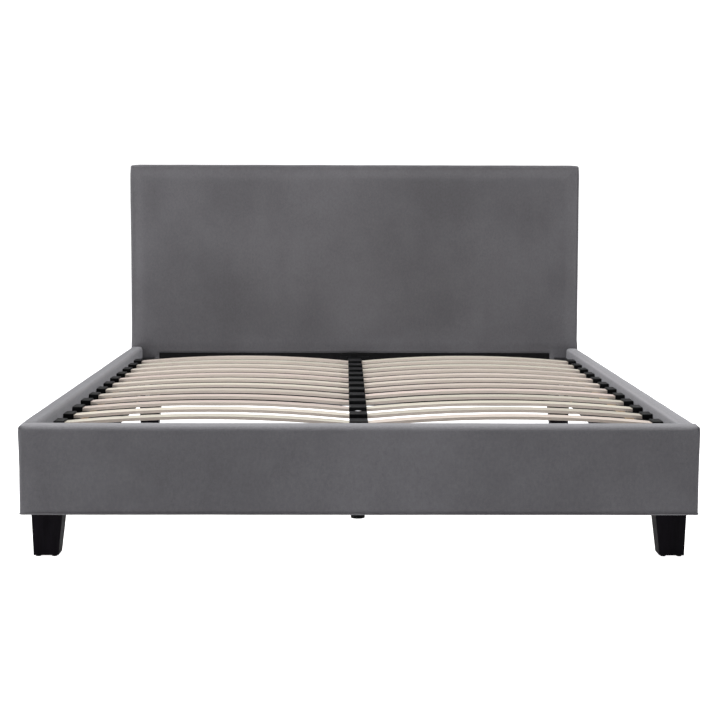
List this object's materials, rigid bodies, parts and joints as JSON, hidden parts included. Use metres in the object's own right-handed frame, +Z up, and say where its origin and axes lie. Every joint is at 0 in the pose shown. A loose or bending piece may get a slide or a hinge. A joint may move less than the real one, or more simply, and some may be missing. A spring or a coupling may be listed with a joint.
{
  "type": "upholstered slatted bed frame",
  "caption": "Low double bed frame with velvet-covered headboard, rails and footboard, sprung wooden slats in plastic holders, steel centre rail and black tapered legs.",
  "frame": {"origin": "on the floor, under the middle of the bed's outer box", "axes": "+X across the bed, to the right seen from the foot; +Y from the footboard to the headboard; +Z up"},
  "size_m": [1.44, 2.04, 0.87],
  "materials": {
    "velvet": "short-pile grey velvet",
    "foam": "cut polyurethane foam",
    "black_lining": "black spun-bonded non-woven",
    "slat_plywood": "pale sealed laminated veneer",
    "black_plastic": "fine-grained moulded plastic",
    "glide_plastic": "moulded plastic",
    "bolt_steel": "zinc plated",
    "black_screw": "black oxide",
    "black_leg_wood": "black satin lacquer on wood",
    "black_steel": "black powder coat",
    "pine": "planed pine, unfinished",
    "particle_board": "plain board, unfinished"
  },
  "bodies": {
    "bed": {"centre_leg_bolts": "bolt_steel", "centre_leg_front": "black_steel", "centre_leg_plugs": "black_plastic", "centre_leg_rear": "black_steel", "centre_rail": "black_steel", "centre_rail_saddle_foot": "black_steel", "centre_rail_saddle_head": "black_steel", "corner_blocks": "pine", "corner_brackets": "black_steel", "footboard_batten": "pine", "footboard_board": "particle_board", "footboard_cover": "velvet", "footboard_foam": "foam", "footboard_lining": "black_lining", "headboard_back_lining": "black_lining", "headboard_cover": "velvet", "headboard_cross_rails": "pine", "headboard_foam": "foam", "headboard_front_board": "particle_board", "headboard_front_lining": "black_lining", "headboard_posts": "pine", "ledger_screws": "black_screw", "leg_bolts": "bolt_steel", "leg_front_left": "black_leg_wood", "leg_front_right": "black_leg_wood", "leg_glides": "glide_plastic", "leg_rear_left": "black_leg_wood", "leg_rear_right": "black_leg_wood", "rail_bolts": "bolt_steel", "saddle_screws": "black_screw", "side_ledger_left": "black_steel", "side_ledger_right": "black_steel", "side_rail_left_batten": "pine", "side_rail_left_board": "particle_board", "side_rail_left_cover": "velvet", "side_rail_left_foam": "foam", "side_rail_left_lining": "black_lining", "side_rail_right_batten": "pine", "side_rail_right_board": "particle_board", "side_rail_right_cover": "velvet", "side_rail_right_foam": "foam", "side_rail_right_lining": "black_lining", "slat_caps_centre": "black_plastic", "slat_caps_left": "black_plastic", "slat_caps_right": "black_plastic", "slat_row_01": "slat_plywood", "slat_row_02": "slat_plywood", "slat_row_03": "slat_plywood", "slat_row_04": "slat_plywood", "slat_row_05": "slat_plywood", "slat_row_06": "slat_plywood", "slat_row_07": "slat_plywood", "slat_row_08": "slat_plywood", "slat_row_09": "slat_plywood", "slat_row_10": "slat_plywood", "slat_row_11": "slat_plywood", "slat_row_12": "slat_plywood"},
    "foot_front": {"levelling_foot_front": "black_plastic"},
    "foot_rear": {"levelling_foot_rear": "black_plastic"}
  },
  "joints": [
    {"name": "foot_front_lift", "type": "slide", "parent": "bed", "child": "foot_front", "axis": [0, 0, 1], "range_m": [0, 0.012]},
    {"name": "foot_rear_lift", "type": "slide", "parent": "bed", "child": "foot_rear", "axis": [0, 0, 1], "range_m": [0, 0.012]}
  ]
}
